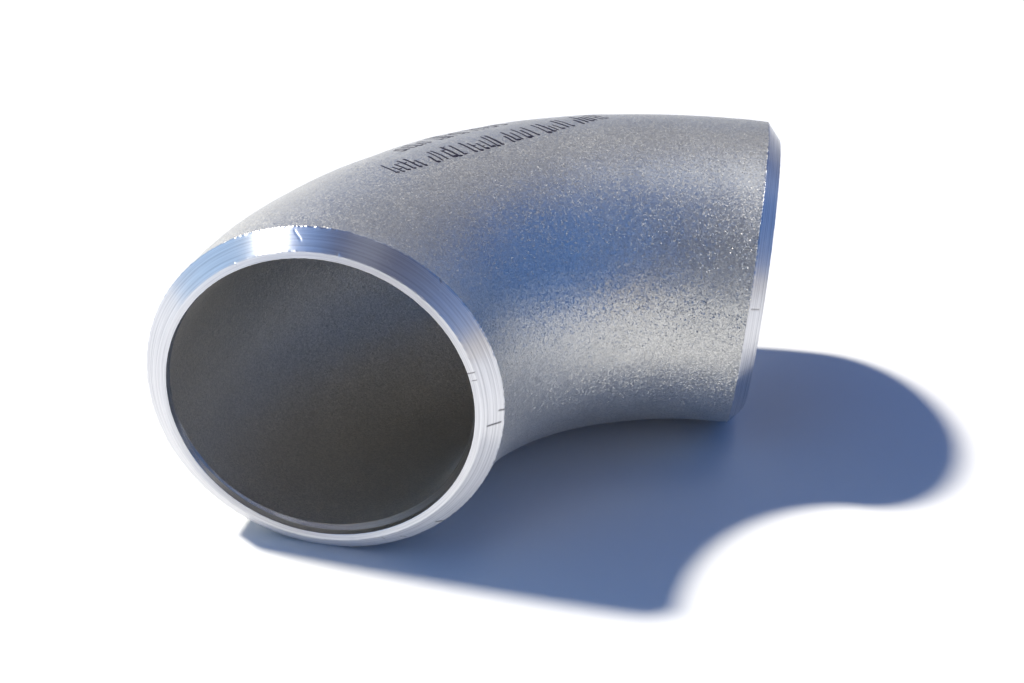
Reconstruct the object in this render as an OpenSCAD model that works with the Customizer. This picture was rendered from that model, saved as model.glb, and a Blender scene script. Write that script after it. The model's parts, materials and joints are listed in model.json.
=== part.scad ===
// Long-radius 90 degree butt-weld pipe elbow, NPS 1 1/2 (DN 40), Schedule 40S, stainless steel.
// The real elbow is one piece of metal, bent from pipe and then machined at both ends. The nodes
// divide it where its finish changes: the formed wall, the two machined weld ends, and the ink
// marks printed on the wall. The three metal nodes meet face to face on flat planes.
// Frame: the origin is the centre of the front weld end's face, and that face looks along -Y.
// The pipe bends towards +X and ends in the side weld end, whose face looks along +X. +Z is up.

/* [Pipe] */
// Outside diameter of the pipe
pipe_od = 48.3; // [47.6:0.1:49.8]
// Inside diameter of the formed wall
bore_d = 40.6; // [40.4:0.1:40.7]
// How far the bore lies towards the outside of the bend, where forming thins the wall
bore_shift = 0.3; // [0:0.05:0.3]

/* [Bend] */
// Distance from the bend's centre to the middle of each end face, and the bend's own radius
centre_to_end = 57.15; // [52:0.05:70]

/* [Weld ends] */
// Inside diameter of the short bore machined at each end
counterbore_d = 41.36; // [41.3:0.02:41.6]
// Length of that short bore
counterbore_l = 1.0; // [0.6:0.1:1.3]
// Slope of the taper from the short bore down to the formed wall, from the end's axis
taper_angle = 25; // [24:1:30]
// Width of the flat root face around the mouth
root_face = 0.94; // [0.8:0.02:1.2]
// Slope of the outer bevel, from the end face
bevel_angle = 40; // [35:0.5:40]
// Length of the machined end, which is a node of its own
end_l = 3.0; // [3.0:0.1:6.0]

/* [Ink marks] */
// Width of one printed bar, along its row
bar_w = 0.45; // [0.3:0.05:0.6]
// Height of one printed bar, from its foot outwards
bar_h = 4.4; // [3:0.1:5]
// Distance between bars, along their row
bar_pitch = 1; // [0.9:0.05:1.1]
// Thickness of the ink film
ink_t = 0.06; // [0.04:0.01:0.1]

/* [Hidden] */
$fn = 180;
pipe_r = pipe_od / 2;
bore_r = bore_d / 2;
counterbore_r = counterbore_d / 2;
root_r = counterbore_r + root_face;
bend_angle = 90;
// Angle by which the bore's cutter runs past each end face
overrun = 4;
// Room that the cutters have past the surfaces that they cut
clear = 2;
// The rows of bars are straight when seen from above. Each row: angle along the bend and angle around
// the pipe, from the outside of the bend, of its first bar's foot, and its number of places for bars
MARK_ROWS = [[23.6, 89, 41], [31.4, 75, 21]];
// Heading of the rows, from the X axis
row_heading = 49.7;
// Every seventh place is left empty, which parts a row into groups
group_places = 7;

// Everything is built around the bend's centre, and moved to the frame's origin here.
module in_frame() {
    translate([centre_to_end, 0, 0]) children();
}

// A round bar of radius r bent through the quarter turn, its centreline moved outwards by shift.
module bent_rod(r, shift = 0, past = 0) {
    rotate([0, 0, bend_angle - past])
        rotate_extrude(angle = bend_angle + 2 * past)
            translate([centre_to_end + shift, 0]) circle(r);
}

// The hollow wall as it is formed, before the ends are machined.
module bent_pipe() {
    difference() {
        bent_rod(pipe_r);
        bent_rod(bore_r, bore_shift, overrun);
    }
}

// A half space over the front end's first stretch, y from 0 to length.
module front_slab(length) {
    translate([-centre_to_end - pipe_od, -clear, -pipe_od])
        cube([2 * pipe_od, length + clear, 2 * pipe_od]);
}

// A profile turned about the front end's axis. Its x is the radius, and its y the depth from the face.
module about_front_axis() {
    translate([-centre_to_end, 0, 0]) rotate([-90, 0, 0]) rotate_extrude() children();
}

// The same shape at the side end: the elbow is its own mirror image across the middle of the bend.
module at_side_end() {
    mirror([1, 1, 0]) children();
}

// What the bevel cuts away outside the root face.
module bevel_cutter() {
    wide = pipe_r + clear;
    about_front_axis()
        polygon([[root_r, 0], [wide, (wide - root_r) * tan(bevel_angle)], [wide, -clear], [root_r, -clear]]);
}

// The short bore and the taper that leads down to the formed wall.
module counterbore_cutter() {
    tip_r = bore_r - bore_shift - clear;
    tip_depth = counterbore_l + (counterbore_r - tip_r) / tan(taper_angle);
    about_front_axis()
        polygon([[0, -clear], [counterbore_r, -clear], [counterbore_r, counterbore_l], [tip_r, tip_depth],
                 [0, tip_depth]]);
}

// One machined end, with its root face, outer bevel, short bore and taper.
module machined_end() {
    difference() {
        intersection() {
            bent_pipe();
            front_slab(end_l);
        }
        bevel_cutter();
        counterbore_cutter();
    }
}

// A film of ink all over the wall's outside.
module ink_film() {
    difference() {
        bent_rod(pipe_r + ink_t);
        bent_rod(pipe_r);
    }
}

// An upright block over one row of bars, seen from above.
module row_of_bars(along, around, places) {
    reach = centre_to_end + pipe_r * cos(around);
    translate([-reach * cos(along), reach * sin(along), 0])
        rotate([0, 0, row_heading])
            for (place = [0 : places - 1])
                if (place % group_places != group_places - 1)
                    translate([place * bar_pitch, 0, 0]) cube([bar_w, bar_h, pipe_od]);
}

module formed_wall() {
    color("slategray") in_frame()
        difference() {
            bent_pipe();
            front_slab(end_l);
            at_side_end() front_slab(end_l);
        }
}

module front_weld_end() {
    color("gainsboro") in_frame() machined_end();
}

module side_weld_end() {
    color("gainsboro") in_frame() at_side_end() machined_end();
}

module ink_marks() {
    color("midnightblue") in_frame()
        intersection() {
            ink_film();
            for (row = MARK_ROWS) row_of_bars(row[0], row[1], row[2]);
        }
}

formed_wall();
front_weld_end();
side_weld_end();
ink_marks();
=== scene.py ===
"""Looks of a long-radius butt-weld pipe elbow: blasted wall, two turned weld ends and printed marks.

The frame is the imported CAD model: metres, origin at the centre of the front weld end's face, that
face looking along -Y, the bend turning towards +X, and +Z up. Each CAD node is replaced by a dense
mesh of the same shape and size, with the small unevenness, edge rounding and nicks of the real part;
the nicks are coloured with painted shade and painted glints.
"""
import json
import math

import bpy
import numpy as np
from mathutils import Matrix, Vector


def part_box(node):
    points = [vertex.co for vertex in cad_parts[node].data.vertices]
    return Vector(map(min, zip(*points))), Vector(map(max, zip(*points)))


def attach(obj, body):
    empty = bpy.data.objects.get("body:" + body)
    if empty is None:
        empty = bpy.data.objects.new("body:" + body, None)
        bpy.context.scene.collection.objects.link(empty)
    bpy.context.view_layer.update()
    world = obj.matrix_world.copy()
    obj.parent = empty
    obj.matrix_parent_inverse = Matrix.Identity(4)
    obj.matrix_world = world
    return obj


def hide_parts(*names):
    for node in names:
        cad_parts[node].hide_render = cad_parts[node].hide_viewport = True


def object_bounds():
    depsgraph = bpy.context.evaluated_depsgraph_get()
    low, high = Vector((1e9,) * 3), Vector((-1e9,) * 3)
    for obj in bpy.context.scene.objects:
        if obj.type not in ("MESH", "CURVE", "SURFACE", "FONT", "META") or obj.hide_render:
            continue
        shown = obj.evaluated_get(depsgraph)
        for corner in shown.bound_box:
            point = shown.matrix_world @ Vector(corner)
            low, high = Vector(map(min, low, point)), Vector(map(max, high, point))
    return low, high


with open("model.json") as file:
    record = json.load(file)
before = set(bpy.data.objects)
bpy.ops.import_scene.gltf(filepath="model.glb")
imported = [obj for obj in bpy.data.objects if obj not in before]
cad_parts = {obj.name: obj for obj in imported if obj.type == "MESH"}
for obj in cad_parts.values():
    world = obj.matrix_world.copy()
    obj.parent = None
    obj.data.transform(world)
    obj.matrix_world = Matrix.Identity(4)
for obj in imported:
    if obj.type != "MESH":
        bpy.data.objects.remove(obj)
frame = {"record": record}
cad_low, cad_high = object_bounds()

MM = 0.001
mounts = {m["name"]: m for m in frame["record"]["mounts"]}

# ---------------------------------------------------------------- sizes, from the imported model
BEND_R = mounts["side_bore"]["pos_m"][0]
PIPE_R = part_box("formed_wall")[1].z
MOUTH_R = mounts["front_bore"]["dims"]["r_mm"] * MM
MOUTH_L = mounts["front_bore"]["dims"]["length_mm"] * MM
END_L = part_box("front_weld_end")[1].y
FLOOR_Z = cad_low.z
# the same values as in the CAD source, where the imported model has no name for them
BORE_R = 20.3 * MM
BORE_SHIFT = 0.3 * MM
ROOT_R = MOUTH_R + 0.94 * MM
BEVEL_SLOPE = math.tan(math.radians(40))
TAPER_SLOPE = math.tan(math.radians(25))

# ---------------------------------------------------------------- camera
CAMERA_AZIMUTH = math.radians(6.49)
CAMERA_ELEVATION = math.radians(28.31)
CAMERA_ROLL = math.radians(4.56)
CAMERA_DISTANCE = 212.4 * MM
CAMERA_TARGET = Vector((21.96 * MM, 23.78 * MM, 0))
CAMERA_LENS = 52.22


def make_camera():
    az, el, roll = CAMERA_AZIMUTH, CAMERA_ELEVATION, CAMERA_ROLL
    back = Vector((math.sin(az) * math.cos(el), -math.cos(az) * math.cos(el), math.sin(el)))
    right = (-back).cross(Vector((0, 0, 1))).normalized()
    up = right.cross(-back)
    turned_right = math.cos(roll) * right + math.sin(roll) * up
    turned_up = -math.sin(roll) * right + math.cos(roll) * up
    data = bpy.data.cameras.new("camera")
    data.lens = CAMERA_LENS
    data.clip_start, data.clip_end = 10 * MM, 20
    camera = bpy.data.objects.new("camera", data)
    bpy.context.scene.collection.objects.link(camera)
    place = CAMERA_TARGET + back * CAMERA_DISTANCE
    axes = Matrix((turned_right, turned_up, back)).transposed()
    camera.matrix_world = Matrix.Translation(place) @ axes.to_4x4()
    bpy.context.scene.camera = camera


# ---------------------------------------------------------------- smooth unevenness
def ripples(seed, wavelength, count=70):
    """A function of points, with mean 0 and about unit size, that waves with that wavelength."""
    rng = np.random.default_rng(seed)
    way = rng.normal(size=(3, count))
    way /= np.linalg.norm(way, axis=0)
    waves = way * 2 * math.pi / wavelength / rng.uniform(0.65, 1.5, count)
    phase = rng.uniform(0, 2 * math.pi, count)

    def height(points):
        return np.cos(points @ waves + phase).sum(-1) * math.sqrt(2 / count)

    return height


forming = ripples(3, 17 * MM)
hammer = ripples(5, 5 * MM)
peel = ripples(8, 1.9 * MM, 110)
bore_forming = ripples(13, 14 * MM)
burr = ripples(21, 0.9 * MM)
burr_fine = ripples(22, 0.45 * MM)


def outer_unevenness(points):
    """How far the formed outer skin stands off the true torus, in metres. Bending has left it a little
    flat over the first third of its top, and a little full over the last third."""
    along = np.degrees(np.arctan2(points[..., 1], BEND_R - points[..., 0]))
    above = np.clip(points[..., 2] / PIPE_R, 0, 1)
    flat = -0.33 * np.exp(-((along - 22) / 12) ** 2) + 0.24 * np.exp(-((along - 62) / 16) ** 2)
    waves = 0.030 * forming(points) + 0.010 * hammer(points) + 0.0045 * peel(points)
    return (flat * above ** 2 + waves) * MM


def bore_unevenness(points):
    return (0.035 * bore_forming(points) + 0.010 * hammer(points) + 0.003 * peel(points)) * MM


# ---------------------------------------------------------------- the bend's own coordinates
def bend_point(along, around, radius, shift=0.0):
    """A point on a torus round the bend's centre. along is 0 at the front end, around is 0 at the
    outside of the bend and a quarter turn at the top."""
    reach = BEND_R + shift + radius * np.cos(around)
    return np.stack([BEND_R - reach * np.cos(along), reach * np.sin(along),
                     radius * np.sin(around) + 0 * along], -1)


def bend_normal(along, around):
    flat = np.cos(around)
    return np.stack([-flat * np.cos(along), flat * np.sin(along), np.sin(around) + 0 * along], -1)


def to_side_end(points):
    """The elbow's own mirror plane swaps its two ends."""
    return np.stack([BEND_R - points[..., 1], BEND_R - points[..., 0], points[..., 2]], -1)


def torus_rho(turn, depth, radius, shift):
    """Distance from the front end's axis to a torus, at an angle about that axis and a depth."""
    low, high = np.full_like(turn, 0.5 * radius), np.full_like(turn, 1.5 * radius)
    for _ in range(46):
        rho = (low + high) / 2
        out = np.hypot(BEND_R + rho * np.cos(turn), depth) - BEND_R - shift
        inside = np.hypot(out, rho * np.sin(turn)) < radius
        low, high = np.where(inside, rho, low), np.where(inside, high, rho)
    return (low + high) / 2


def around_at_turn(turn, radius, shift):
    """The torus's own angle whose point on the plane at END_L lies at this angle about the end's axis."""
    around = turn.copy()
    for _ in range(30):
        reach = BEND_R + shift + radius * np.cos(around)
        x = BEND_R - np.sqrt(reach ** 2 - END_L ** 2)
        found = np.arctan2(radius * np.sin(around), -x)
        around += np.angle(np.exp(1j * (turn - found)))
    return around


# ---------------------------------------------------------------- mesh making
AROUND = 440
OUTER_ROWS = 150
BORE_ROWS = 66
# the ends have three columns for each of the wall's, and so meet it vertex to vertex
AROUND_END = 3 * AROUND
turns = np.arange(AROUND) * 2 * math.pi / AROUND
end_turns = np.arange(AROUND_END) * 2 * math.pi / AROUND_END
outer_around = around_at_turn(turns, PIPE_R, 0.0)
bore_around = around_at_turn(turns, BORE_R, BORE_SHIFT)


def grid_faces(rows, columns, first=0, closed=True, flip=False):
    """Quads of a grid whose vertices run row by row. Closed joins its last column to its first."""
    row = np.arange(rows - 1)[:, None]
    column = np.arange(columns if closed else columns - 1)[None, :]
    after = (column + 1) % columns
    corners = [row * columns + column, row * columns + after,
               (row + 1) * columns + after, (row + 1) * columns + column]
    faces = np.stack([np.broadcast_to(c, np.broadcast(row, column).shape) for c in corners], -1)
    faces = faces.reshape(-1, 4) + first
    return faces[:, ::-1] if flip else faces


def make_piece(name, points, faces, material_of_face, materials, attributes=None, sharp=None):
    """A mesh object that rides on the one body, smooth shaded, with edges in sharp kept crisp."""
    mesh = bpy.data.meshes.new(name)
    mesh.vertices.add(len(points))
    mesh.vertices.foreach_set("co", np.asarray(points, np.float32).ravel())
    mesh.loops.add(faces.size)
    mesh.loops.foreach_set("vertex_index", faces.astype(np.int32).ravel())
    mesh.polygons.add(len(faces))
    mesh.polygons.foreach_set("loop_start", np.arange(0, faces.size, faces.shape[1], dtype=np.int32))
    mesh.polygons.foreach_set("material_index", np.asarray(material_of_face, np.int32))
    mesh.polygons.foreach_set("use_smooth", np.ones(len(faces), bool))
    for key, values in (attributes or {}).items():
        kind = "FLOAT_VECTOR" if values.ndim == 2 else "FLOAT"
        layer = mesh.attributes.new(key, kind, "POINT")
        field = "vector" if values.ndim == 2 else "value"
        layer.data.foreach_set(field, np.asarray(values, np.float32).ravel())
    mesh.update(calc_edges=True)
    mesh.validate()
    if sharp is not None:
        ends = np.zeros(len(mesh.edges) * 2, np.int32)
        mesh.edges.foreach_get("vertices", ends)
        ends = ends.reshape(-1, 2)
        crisp = mesh.attributes.new("sharp_edge", "BOOLEAN", "EDGE")
        crisp.data.foreach_set("value", sharp[ends[:, 0]] & sharp[ends[:, 1]])
    for material in materials:
        mesh.materials.append(material)
    piece = bpy.data.objects.new(name, mesh)
    bpy.context.scene.collection.objects.link(piece)
    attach(piece, "root")
    return piece


def make_wall(outer_skin, bore_skin):
    """The bent wall between the two machined ends: outer skin, bore skin and the two joint planes."""
    points, run, faces, first_rows, last_rows = [], [], [], [], []
    count = 0
    for radius, shift, around, unevenness, side, rows in (
        (PIPE_R, 0.0, outer_around, outer_unevenness, 1, OUTER_ROWS),
        (BORE_R, BORE_SHIFT, bore_around, bore_unevenness, -1, BORE_ROWS),
    ):
        share = np.linspace(0, 1, rows + 1)[:, None]
        first = np.arcsin(END_L / (BEND_R + shift + radius * np.cos(around)))[None, :]
        along = first + (math.pi / 2 - 2 * first) * share
        around = np.broadcast_to(around, along.shape)
        skin = bend_point(along, around, radius, shift)
        skin = skin + bend_normal(along, around) * (side * unevenness(skin))[..., None]
        points.append(skin.reshape(-1, 3))
        run.append(np.stack([along * BEND_R, radius * np.cos(around), radius * np.sin(around)], -1).reshape(-1, 3))
        faces.append(grid_faces(rows + 1, AROUND, count, flip=side > 0))
        first_rows.append(count + np.arange(AROUND))
        last_rows.append(count + rows * AROUND + np.arange(AROUND))
        count += len(points[-1])
    material = np.concatenate([np.zeros(len(faces[0])), np.ones(len(faces[1])), np.zeros(2 * AROUND)])
    outer, bore = first_rows
    faces.append(np.stack([outer, np.roll(outer, -1), np.roll(bore, -1), bore], -1))
    outer, bore = last_rows
    faces.append(np.stack([outer, bore, np.roll(bore, -1), np.roll(outer, -1)], -1))
    points, run, faces = np.concatenate(points), np.concatenate(run), np.concatenate(faces)
    rim = np.zeros(len(points), bool)
    rim[np.concatenate(first_rows + last_rows)] = True
    piece = make_piece("elbow_wall", points, faces, material, [outer_skin, bore_skin],
                       {"run": run}, rim)
    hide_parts("formed_wall")


# Small damage on a weld end: angle about the end's axis, distance in from the bevel's outer edge
# along the profile, slant, length, half width, depth (millimetres and degrees), and how dark it is
# painted: above 0 a painted shade in the dent, below 0 a pale painted glint
FRONT_NICKS = [
    (180.5, 1.5, 4, 2.0, 0.11, 0.05, 1.0),
    (176, 0.4, -8, 0.9, 0.11, 0.06, 1.0),
    (159, 3.9, 0, 1.0, 0.07, 0.03, 0.9),
    (162, 3.7, 0, 0.5, 0.06, 0.03, 0.8),
    (226, 0.4, 35, 1.2, 0.16, 0.11, 1.0),
    (240, 1.0, 30, 0.9, 0.08, 0.05, 0.7),
    (82, 1.2, 38, 1.5, 0.08, 0.04, -1.0),
    (246, 2.4, 10, 0.7, 0.08, 0.04, 0.6),
    (96, 3.3, 0, 0.4, 0.12, 0.05, -0.8),
    (60, 3.3, 20, 0.4, 0.10, 0.05, -0.8),
    (112, 1.9, 60, 1.2, 0.05, 0.02, -0.6),
    (131, 1.2, 80, 0.9, 0.05, 0.02, -0.6),
    (128, 0.1, 60, 0.5, 0.10, 0.05, 0.5),
]
SIDE_NICKS = [
    (168, 1.4, 8, 1.8, 0.09, 0.04, 0.7),
    (20, 0.3, -30, 0.8, 0.12, 0.06, 0.6),
    (100, 3.4, 0, 0.5, 0.10, 0.05, -0.6),
    (250, 1.0, 25, 1.4, 0.08, 0.04, 0.5),
]


def corner_points(turn):
    """The end's profile corners for each angle about its axis, from the skin round into the bore."""
    edge_y = np.zeros_like(turn)
    for _ in range(12):
        edge_y = (torus_rho(turn, edge_y, PIPE_R, 0.0) - ROOT_R) * BEVEL_SLOPE
    taper_y = np.full_like(turn, MOUTH_L)
    for _ in range(12):
        taper_y = MOUTH_L + (MOUTH_R - torus_rho(turn, taper_y, BORE_R, BORE_SHIFT)) / TAPER_SLOPE
    full, flat = np.full_like(turn, END_L), np.zeros_like(turn)
    return [
        np.stack([torus_rho(turn, full, PIPE_R, 0.0), full], -1),
        np.stack([torus_rho(turn, edge_y, PIPE_R, 0.0), edge_y], -1),
        np.stack([flat + ROOT_R, flat], -1),
        np.stack([flat + MOUTH_R, flat], -1),
        np.stack([flat + MOUTH_R, flat + MOUTH_L], -1),
        np.stack([torus_rho(turn, taper_y, BORE_R, BORE_SHIFT), taper_y], -1),
        np.stack([torus_rho(turn, full, BORE_R, BORE_SHIFT), full], -1),
    ]


# Rounding of each corner in millimetres, and the rows of faces along each flat between corners
CORNER_ROUND = [0, 0.13, 0.09, 0.08, 0.05, 0.10, 0]
FLAT_ROWS = [4, 16, 6, 5, 5, 3]
ROUND_ROWS = 5
# What each flat is: the skin, bevel, root face, mouth, taper, bore
FLAT_MATERIAL = [0, 1, 1, 3, 3, 2]


def end_profile(turn):
    """Rows of (distance from the axis, depth) round the end's section, each for all angles."""
    corners = corner_points(turn)
    rows, kinds = [], []
    for k in range(6):
        here, there = corners[k], corners[k + 1]
        way = there - here
        length = np.linalg.norm(way, axis=-1, keepdims=True)
        way = way / length
        start = here + way * CORNER_ROUND[k] * MM
        stop = there - way * CORNER_ROUND[k + 1] * MM
        for i in range(FLAT_ROWS[k] + 1):
            rows.append(start + (stop - start) * i / FLAT_ROWS[k])
            kinds.append(FLAT_MATERIAL[k])
        if k == 5:
            break
        onward = corners[k + 2] - there
        onward = onward / np.linalg.norm(onward, axis=-1, keepdims=True)
        out = there + onward * CORNER_ROUND[k + 1] * MM
        for i in range(1, ROUND_ROWS):
            s = i / ROUND_ROWS
            rows.append((1 - s) ** 2 * stop + 2 * s * (1 - s) * there + s ** 2 * out)
            kinds.append(3 if k >= 3 else 1)
    rows = np.array(rows)
    # the skin's and the bore's rows follow the torus itself, not the straight chord
    for i in range(FLAT_ROWS[0] + 1):
        rows[i, :, 0] = torus_rho(turn, rows[i, :, 1], PIPE_R, 0.0)
    for i in range(len(rows) - FLAT_ROWS[5] - 1, len(rows)):
        rows[i, :, 0] = torus_rho(turn, rows[i, :, 1], BORE_R, BORE_SHIFT)
    return rows, np.array(kinds), corners


def make_end(name, node, at_side, nicks, materials):
    """One machined weld end: bevel, root face, short bore and taper, with their edges rounded."""
    rows, kinds, corners = end_profile(end_turns)
    count = len(rows)
    rho, depth = rows[..., 0], rows[..., 1]
    turn = np.broadcast_to(end_turns, rho.shape)
    points = np.stack([-rho * np.cos(turn), depth, rho * np.sin(turn)], -1)
    # normal of the section, from the way that the rows travel
    way = np.gradient(rows, axis=0)
    way /= np.linalg.norm(way, axis=-1, keepdims=True)
    out_rho, out_depth = -way[..., 1], way[..., 0]
    normals = np.stack([-out_rho * np.cos(turn), out_depth, out_rho * np.sin(turn)], -1)
    travelled = np.concatenate([np.zeros((1, AROUND_END)),
                                np.cumsum(np.linalg.norm(np.diff(rows, axis=0), axis=-1), axis=0)])
    edge_row = FLAT_ROWS[0] + ROUND_ROWS // 2
    from_edge = travelled - travelled[edge_row]
    # the formed skins keep their own unevenness up to the machined surfaces
    where = to_side_end(points) if at_side else points
    skin = kinds == 0
    skin_fade = np.zeros(count)
    skin_fade[skin] = np.linspace(1, 0, skin.sum())
    bore = kinds == 2
    bore_fade = np.zeros(count)
    bore_fade[bore] = np.linspace(0, 1, bore.sum())
    lift = skin_fade[:, None] * outer_unevenness(where) - bore_fade[:, None] * bore_unevenness(where) * -1
    # burrs and small knocks along the machined edges
    inner_edges = [corners[2], corners[3]]
    ragged = burr(where) + 0.6 * burr_fine(where)
    sizes = [(travelled[edge_row], 0.11, 0.022)]
    for k, corner in zip((2, 3), inner_edges):
        gap = np.hypot(rho - corner[:, 0], depth - corner[:, 1])
        sizes.append((travelled[np.argmin(gap.mean(1))], 0.07, 0.010))
    for place, reach, size in sizes:
        lift = lift + size * MM * ragged * np.exp(-(((travelled - place) / (reach * MM)) ** 2))
    # each nick is dented, and its colour is painted: dark for painted shade in the dent, pale for a painted glint
    wear = np.zeros_like(rho)
    for angle, inward, slant, length, half_width, deep, dark in nicks:
        across = np.angle(np.exp(1j * (turn - math.radians(angle)))) * rho
        down = from_edge - inward * MM
        c, s = math.cos(math.radians(slant)), math.sin(math.radians(slant))
        lengthwise, sideways = down * c + across * s, across * c - down * s
        beyond = np.maximum(np.abs(lengthwise) - length * MM / 2, 0)
        mark = np.exp(-(sideways / (half_width * MM)) ** 2 - (beyond / (0.1 * MM)) ** 2)
        lift = lift - deep * MM * mark
        wear = np.where(mark > np.abs(wear), dark * mark, wear)
    points = points + normals * lift[..., None]
    groove = np.stack([np.sin(turn), 0 * turn, np.cos(turn)], -1)
    profile = np.stack([way[..., 0] * -np.cos(turn), way[..., 1], way[..., 0] * np.sin(turn)], -1)
    run = np.stack([travelled, rho * np.cos(turn), rho * np.sin(turn)], -1)
    along = np.arctan2(points[..., 1], BEND_R - points[..., 0])
    reach = np.hypot(BEND_R - points[..., 0], points[..., 1]) - BEND_R
    formed = np.stack([(math.pi / 2 - along if at_side else along) * BEND_R, reach, points[..., 2]], -1)
    run = np.where(((kinds == 0) | (kinds == 2))[:, None, None], formed, run)
    if at_side:
        points = to_side_end(points)
        groove = np.stack([-groove[..., 1], -groove[..., 0], groove[..., 2]], -1)
        profile = np.stack([-profile[..., 1], -profile[..., 0], profile[..., 2]], -1)
    faces = grid_faces(count, AROUND_END, flip=at_side)
    material = np.repeat(np.where(kinds[:-1] == 0, kinds[:-1], kinds[1:]), AROUND_END)
    column = np.arange(AROUND_END)
    after = (column + 1) % AROUND_END
    end = (count - 1) * AROUND_END
    back = np.stack([end + column, end + after, after, column], -1)
    faces = np.concatenate([faces, back[:, ::-1] if at_side else back])
    material = np.concatenate([material, np.zeros(AROUND_END)])
    rim = np.zeros(count * AROUND_END, bool)
    rim[:AROUND_END] = True
    rim[end:] = True
    attributes = {"run": run.reshape(-1, 3), "profile": profile.reshape(-1, 3),
                  "wear": wear.reshape(-1)}
    piece = make_piece(name, points.reshape(-1, 3), faces, material,
                       materials, attributes, rim)
    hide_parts(node)


# ---------------------------------------------------------------- material helpers
FACET_TILT = 0.17
GLINT_TILT = 0.62
RELIEF = 0.034 * MM


class Nodes:
    """Short calls for building one material's node tree."""

    def __init__(self, name):
        self.material = bpy.data.materials.new(name)
        self.material.use_nodes = True
        self.tree = self.material.node_tree
        self.tree.nodes.clear()
        self.output = self.add("ShaderNodeOutputMaterial")

    def add(self, kind, inputs=None, **settings):
        node = self.tree.nodes.new(kind)
        for key, value in settings.items():
            setattr(node, key, value)
        for key, value in (inputs or {}).items():
            if isinstance(value, bpy.types.NodeSocket):
                self.tree.links.new(value, node.inputs[key])
            else:
                node.inputs[key].default_value = value
        return node

    def math(self, operation, a, b=0.0, c=0.0, clamp=False):
        node = self.add("ShaderNodeMath", {0: a, 1: b, 2: c}, operation=operation, use_clamp=clamp)
        return node.outputs[0]

    def vector(self, operation, a, b=(0, 0, 0), scale=1.0):
        node = self.add("ShaderNodeVectorMath", {0: a, 1: b}, operation=operation)
        if operation == "SCALE":
            self.plug(scale, node.inputs["Scale"])
        return node.outputs["Value" if operation in ("DOT_PRODUCT", "LENGTH") else "Vector"]

    def plug(self, value, socket):
        if isinstance(value, bpy.types.NodeSocket):
            self.tree.links.new(value, socket)
        else:
            socket.default_value = value

    def noise(self, at, scale, detail=2.0, roughness=0.5, output="Fac"):
        return self.add("ShaderNodeTexNoise", {"Vector": at, "Scale": scale, "Detail": detail,
                                               "Roughness": roughness}).outputs[output]

    def ramp(self, value, stops):
        node = self.add("ShaderNodeValToRGB", {"Fac": value})
        ramp = node.color_ramp
        while len(ramp.elements) < len(stops):
            ramp.elements.new(0.5)
        for element, (place, colour) in zip(ramp.elements, stops):
            element.position = place
            element.color = (*colour, 1) if len(colour) == 3 else (colour[0],) * 3 + (1,)
        return node.outputs["Color"]

    def remap(self, value, low, high, to_low, to_high):
        node = self.add("ShaderNodeMapRange", {"Value": value, "From Min": low, "From Max": high,
                                               "To Min": to_low, "To Max": to_high})
        return node.outputs["Result"]

    def mix(self, share, a, b):
        node = self.add("ShaderNodeMix", data_type="RGBA")
        self.plug(share, node.inputs["Factor"])
        self.plug(a, node.inputs["A"])
        self.plug(b, node.inputs["B"])
        return node.outputs["Result"]

    def bump(self, height, distance, strength=1.0, normal=None):
        inputs = {"Height": height, "Distance": distance, "Strength": strength}
        if normal is not None:
            inputs["Normal"] = normal
        return self.add("ShaderNodeBump", inputs).outputs["Normal"]

    def attribute(self, name):
        return self.add("ShaderNodeAttribute", attribute_name=name)

    def object_place(self):
        return self.add("ShaderNodeTexCoord").outputs["Object"]

    def finish(self, shader_inputs):
        shader = self.add("ShaderNodeBsdfPrincipled", shader_inputs)
        self.tree.links.new(shader.outputs["BSDF"], self.output.inputs["Surface"])
        return self.material


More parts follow.
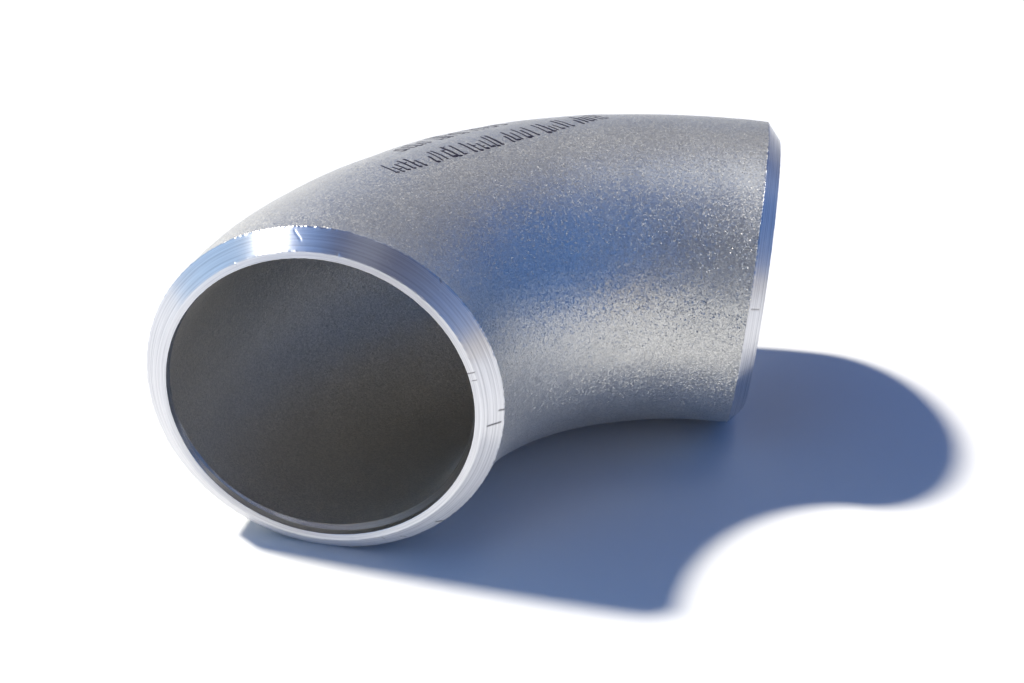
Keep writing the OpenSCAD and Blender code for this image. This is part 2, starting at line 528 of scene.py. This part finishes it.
def blasted_steel(name, base, contrast, crease_mm, rough):
    """Shot-blasted and pickled stainless: fine dimples and creases, with a few bright facets."""
    n = Nodes(name)
    place = n.object_place()
    run = n.attribute("run").outputs["Vector"]
    # facets: most lie with the surface, and a few are tilted enough to glint
    cells = n.add("ShaderNodeTexVoronoi", {"Vector": place, "Scale": 1 / (0.17 * MM)})
    chance = n.add("ShaderNodeSeparateColor", {"Color": cells.outputs["Color"]})
    tilt = n.vector("SUBTRACT", cells.outputs["Color"], (0.5, 0.5, 0.5))
    rare = n.math("POWER", chance.outputs["Blue"], 5.0)
    size = n.math("MULTIPLY_ADD", rare, GLINT_TILT, FACET_TILT)
    normal = n.add("ShaderNodeNewGeometry").outputs["Normal"]
    faceted = n.vector("NORMALIZE", n.vector("ADD", normal, n.vector("SCALE", tilt, scale=size)))
    # dimples, and creases whose length and width are given
    dimples = n.noise(place, 1 / (0.22 * MM), 2.0, 0.6)
    long, wide = (1 / (size * MM) for size in crease_mm)
    creases = n.noise(n.vector("MULTIPLY", run, (long, wide, wide)), 1.0, 1.0, 0.4)
    height = n.math("ADD", n.math("MULTIPLY", dimples, 0.12), n.math("MULTIPLY", creases, 0.88))
    bumped = n.bump(height, RELIEF, 1.0, faceted)
    # colour: grain, and stains of pickling
    fine = n.noise(place, 1 / (0.18 * MM), 2.0, 0.7)
    stain = n.noise(place, 1 / (9 * MM), 4.0, 0.55)
    tone = n.math("ADD", n.math("MULTIPLY", chance.outputs["Red"], 0.40),
                  n.math("ADD", n.math("MULTIPLY", fine, 0.42), n.math("MULTIPLY", stain, 0.18)))
    spread = [(0.28, 1 - contrast), (0.50, 1.0), (0.70, 1 + contrast), (0.82, 1 + 2.5 * contrast)]
    colour = n.ramp(tone, [(at, tuple(min(c * k, 1.0) for c in base)) for at, k in spread])
    # each tiny crystal has its own gloss, which gives the whole a bright core and wide tails
    crystals = n.add("ShaderNodeTexVoronoi", {"Vector": place, "Scale": 1 / (0.08 * MM)})
    gloss = n.add("ShaderNodeSeparateColor", {"Color": crystals.outputs["Color"]}).outputs["Green"]
    roughness = n.remap(n.math("POWER", gloss, 1.5), 0, 1, *rough)
    return n.finish({"Base Color": colour, "Metallic": 1.0, "Roughness": roughness, "Normal": bumped})


def turned_steel(name, polished, matt, stretch):
    """Bright turned stainless: fine concentric tool lines that stretch reflections across them."""
    n = Nodes(name)
    run = n.attribute("run").outputs["Vector"]
    wear = n.attribute("wear").outputs["Fac"]
    split = n.add("ShaderNodeSeparateXYZ", {"Vector": run})
    across = split.outputs["X"]
    drift = n.noise(n.vector("MULTIPLY", run, (0, 1 / (14 * MM), 1 / (14 * MM))), 1.0, 1.0, 0.5)
    lane = n.math("ADD", across, n.math("MULTIPLY", drift, 0.05 * MM))
    lane_place = n.add("ShaderNodeCombineXYZ", {"X": lane}).outputs["Vector"]
    lines = n.noise(lane_place, 1 / (0.10 * MM), 3.0, 0.75)
    broad = n.noise(lane_place, 1 / (0.32 * MM), 1.0, 0.6)
    streak = n.noise(n.vector("MULTIPLY", run, (1 / (0.12 * MM), 1 / (6 * MM), 1 / (6 * MM))),
                     1.0, 2.0, 0.6)
    tone = n.math("ADD", n.math("MULTIPLY", lines, 0.35),
                  n.math("ADD", n.math("MULTIPLY", broad, 0.40), n.math("MULTIPLY", streak, 0.25)))
    colour = n.ramp(tone, [(0.36, (0.53, 0.53, 0.55)), (0.50, (0.76, 0.76, 0.77)),
                           (0.64, (0.92, 0.92, 0.93))])
    # painted shade in the nicks (positive values) and painted glints on them (negative values)
    darkened = n.mix(n.math("MAXIMUM", wear, 0.0, clamp=True), colour, (0.05, 0.045, 0.05, 1))
    worn = n.mix(n.math("MAXIMUM", n.math("MULTIPLY", wear, -1.0), 0.0, clamp=True), darkened,
                 (0.95, 0.95, 0.95, 1))
    roughness = n.remap(tone, 0.3, 0.7, matt, polished)
    height = n.math("ADD", n.math("MULTIPLY", lines, 0.7), n.math("MULTIPLY", streak, 0.3))
    bumped = n.bump(height, 0.006 * MM, 0.8)
    return n.finish({"Base Color": worn, "Metallic": 1.0, "Roughness": roughness, "Normal": bumped,
                     "Anisotropic": stretch, "Tangent": n.attribute("profile").outputs["Vector"]})


def marking_ink():
    """Printed ink, broken where grains of the wall stand through it."""
    n = Nodes("marking_ink")
    place = n.object_place()
    cover = n.noise(place, 1 / (0.22 * MM), 2.0, 0.6)
    colour = n.ramp(cover, [(0.35, (0.004, 0.003, 0.007)), (0.64, (0.014, 0.009, 0.022)),
                            (0.76, (0.20, 0.18, 0.22))])
    roughness = n.remap(cover, 0.3, 0.7, 0.55, 0.40)
    bumped = n.bump(cover, 0.03 * MM)
    return n.finish({"Base Color": colour, "Roughness": roughness, "Normal": bumped,
                     "Specular IOR Level": 0.4})


def pale_floor():
    n = Nodes("pale_floor")
    place = n.object_place()
    cloud = n.noise(place, 1 / 0.08, 3.0, 0.5)
    colour = n.ramp(cloud, [(0.3, (0.735, 0.735, 0.735)), (0.7, (0.755, 0.755, 0.755))])
    return n.finish({"Base Color": colour, "Roughness": 0.5, "Specular IOR Level": 0.2})


# ---------------------------------------------------------------- printed marks
MARK_ROWS = [  # angle along the bend and around the pipe of the first bar's foot, and places for bars
    (23.6, 89, 41),
    (31.4, 75, 21),
]
ROW_HEADING = math.radians(49.7)
GROUP_PLACES = 7
BAR_PITCH = 1.0 * MM
BAR_HEIGHT = 4.4 * MM
BAR_WIDTH = 0.46 * MM


def top_of_pipe(spot):
    """Angles along the bend and around the pipe of the wall's top above a point seen in plan."""
    reach = np.hypot(BEND_R - spot[..., 0], spot[..., 1])
    around = np.arccos((reach - BEND_R) / PIPE_R)
    return np.arctan2(spot[..., 1], BEND_R - spot[..., 0]), around


def stroke(start, end, width):
    """A thin film of ink along a straight line, given in plan, on the top of the wall."""
    start, end = np.array(start), np.array(end)
    length = np.linalg.norm(end - start)
    rows = max(3, int(length / (0.2 * MM)) + 1)
    share = np.linspace(0, 1, rows)[:, None]
    across = np.linspace(-1, 1, 5)[None, :]
    way = (end - start) / length
    side = np.array([-way[1], way[0]])
    from_end = np.minimum(share, 1 - share) * length
    rounded = np.sqrt(np.clip(1 - (1 - np.minimum(from_end / (width / 2), 1)) ** 2, 0.05, 1))
    spot = start + way * (share * length)[..., None] + side * (across * rounded * width / 2)[..., None]
    along, around = top_of_pipe(spot)
    base = bend_point(along, around, PIPE_R)
    normals = bend_normal(along, around)
    base = base + normals * outer_unevenness(base)[..., None]
    edge = (np.abs(across) > 0.9) | (share < 0.01) | (share > 0.99)
    top = base + normals * (np.where(edge, -0.008, 0.014) * MM)[..., None]
    under = base - normals * 0.016 * MM
    count = rows * 5
    faces = [grid_faces(rows, 5, 0, closed=False), grid_faces(rows, 5, count, closed=False, flip=True)]
    ring = list(range(5)) + [r * 5 + 4 for r in range(1, rows)]
    ring += [(rows - 1) * 5 + i for i in range(3, -1, -1)] + [r * 5 for r in range(rows - 2, 0, -1)]
    ring = np.array(ring)
    after = np.roll(ring, -1)
    faces.append(np.stack([ring, ring + count, after + count, after], -1))
    return np.concatenate([top.reshape(-1, 3), under.reshape(-1, 3)]), np.concatenate(faces)


def make_marks(ink):
    """Straight rows of bars with short feet, in groups: a printed pattern that spells nothing."""
    rng = np.random.default_rng(40)
    onward = np.array([math.cos(ROW_HEADING), math.sin(ROW_HEADING)])
    outward = np.array([-onward[1], onward[0]])
    points, faces, count = [], [], 0
    for along, around, places in MARK_ROWS:
        corner = bend_point(math.radians(along), math.radians(around), PIPE_R)[:2]
        for place in range(places):
            if place % GROUP_PLACES == GROUP_PLACES - 1:
                continue
            foot = corner + onward * (place * BAR_PITCH + BAR_WIDTH / 2 + rng.uniform(-0.1, 0.1) * MM)
            tall = BAR_HEIGHT * rng.choice([1.0, 0.95, 0.58, 0.74])
            lean = onward * rng.uniform(-0.2, 0.25) * MM
            lines = [(foot, foot + outward * tall + lean, BAR_WIDTH * rng.uniform(0.8, 1.25))]
            if rng.random() < 0.78:
                low = foot + outward * rng.uniform(0.1, 0.35) * MM
                lines.append((low - onward * 0.25 * MM, low + onward * rng.uniform(0.4, 0.9) * MM,
                              rng.uniform(0.6, 0.95) * MM))
            if rng.random() < 0.4:
                middle = foot + outward * tall * rng.choice([0.45, 0.6, 0.9])
                lines.append((middle, middle + onward * rng.uniform(0.45, 0.75) * MM, 0.42 * MM))
            for a, b, width in lines:
                p, f = stroke(a, b, width)
                points.append(p)
                faces.append(f + count)
                count += len(p)
    points, faces = np.concatenate(points), np.concatenate(faces)
    piece = make_piece("ink_print", points, faces, np.zeros(len(faces)), [ink])
    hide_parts("ink_marks")


# ---------------------------------------------------------------- studio
KEY_AZIMUTH = math.radians(-95.5)
KEY_ELEVATION = math.radians(51.3)
KEY_ANGLE = math.radians(4.5)
KEY_STRENGTH = 5.6
SKY_STRENGTH = 1.0


def direction(azimuth, elevation):
    """Azimuth 0 looks from -Y, the camera's side, and a quarter turn is +X."""
    flat = math.cos(elevation)
    return Vector((math.sin(azimuth) * flat, -math.cos(azimuth) * flat, math.sin(elevation)))


def make_floor():
    size = 3.0
    mesh = bpy.data.meshes.new("floor")
    mesh.from_pydata([(-size, -size, FLOOR_Z), (size, -size, FLOOR_Z), (size, size, FLOOR_Z),
                      (-size, size, FLOOR_Z)], [], [(0, 1, 2, 3)])
    mesh.materials.append(pale_floor())
    floor = bpy.data.objects.new("floor", mesh)
    bpy.context.scene.collection.objects.link(floor)


def make_key():
    data = bpy.data.lights.new("key", "SUN")
    data.angle = KEY_ANGLE
    data.energy = KEY_STRENGTH
    data.color = (1.0, 0.95, 0.84)
    key = bpy.data.objects.new("key", data)
    way = direction(KEY_AZIMUTH, KEY_ELEVATION)
    key.location = way
    key.rotation_mode = "QUATERNION"
    key.rotation_quaternion = way.to_track_quat("Z", "Y")
    bpy.context.scene.collection.objects.link(key)


# The dome by height, from straight down at 0 to straight up at 1
DOME = [(0.0, (0.60, 0.60, 0.60)), (0.50, (0.90, 0.79, 0.60)), (0.525, (0.62, 0.58, 0.50)),
        (0.555, (0.18, 0.28, 0.52)), (0.60, (0.07, 0.19, 0.50)), (0.72, (0.018, 0.075, 0.31)),
        (1.0, (0.015, 0.05, 0.23))]
# Soft patches on it: azimuth, elevation, radius where it is full and where it ends, colour
PATCHES = [
    (-78, 16, 14, 46, (0.46, 0.76, 1.18)),
    (-34, 47, 5, 21, (0.28, 0.66, 1.45)),
    (172, 38, 6, 30, (0.24, 0.24, 0.28)),
    (92, 28, 12, 46, (0.010, 0.16, 0.56)),
    (18, 40, 14, 38, (0.030, 0.030, 0.065)),
    (66, 4, 3, 11, (1.25, 0.95, 0.45)),
    (130, 79, 4, 15, (1.40, 1.50, 1.70)),
]


def make_sky():
    """A soft cool dome, paler at the horizon, with a pale patch behind and a dim one by the camera."""
    world = bpy.data.worlds.new("studio")
    bpy.context.scene.world = world
    world.use_nodes = True
    n = Nodes.__new__(Nodes)
    n.tree = world.node_tree
    n.tree.nodes.clear()
    way = n.add("ShaderNodeTexCoord").outputs["Generated"]
    height = n.add("ShaderNodeSeparateXYZ", {"Vector": way}).outputs["Z"]
    colour = n.ramp(n.remap(height, -1, 1, 0, 1), DOME)
    for azimuth, elevation, full, end, patch_colour in PATCHES:
        centre = direction(math.radians(azimuth), math.radians(elevation))
        nearness = n.vector("DOT_PRODUCT", way, tuple(centre))
        share = n.add("ShaderNodeMapRange", {
            "Value": nearness, "From Min": math.cos(math.radians(end)),
            "From Max": math.cos(math.radians(full))}, interpolation_type="SMOOTHSTEP")
        colour = n.mix(share.outputs["Result"], colour, (*patch_colour, 1))
    background = n.add("ShaderNodeBackground", {"Color": colour, "Strength": SKY_STRENGTH})
    out = n.add("ShaderNodeOutputWorld")
    n.tree.links.new(background.outputs[0], out.inputs["Surface"])


# ---------------------------------------------------------------- put together
make_camera()
outer_skin = blasted_steel("blasted_outer", (0.64, 0.63, 0.59), 0.17, (1.15, 0.42), (0.30, 0.74))
bore_skin = blasted_steel("blasted_bore", (0.56, 0.53, 0.47), 0.14, (0.36, 2.2), (0.44, 0.70))
end_materials = [outer_skin, turned_steel("turned_face", 0.34, 0.42, 0.97), bore_skin,
                 turned_steel("turned_mouth", 0.18, 0.24, 0.7)]
make_wall(outer_skin, bore_skin)
make_end("front_end", "front_weld_end", False, FRONT_NICKS, end_materials)
make_end("side_end", "side_weld_end", True, SIDE_NICKS, end_materials)
make_marks(marking_ink())
make_floor()
make_key()
make_sky()
bpy.context.scene.view_settings.view_transform = "Standard"
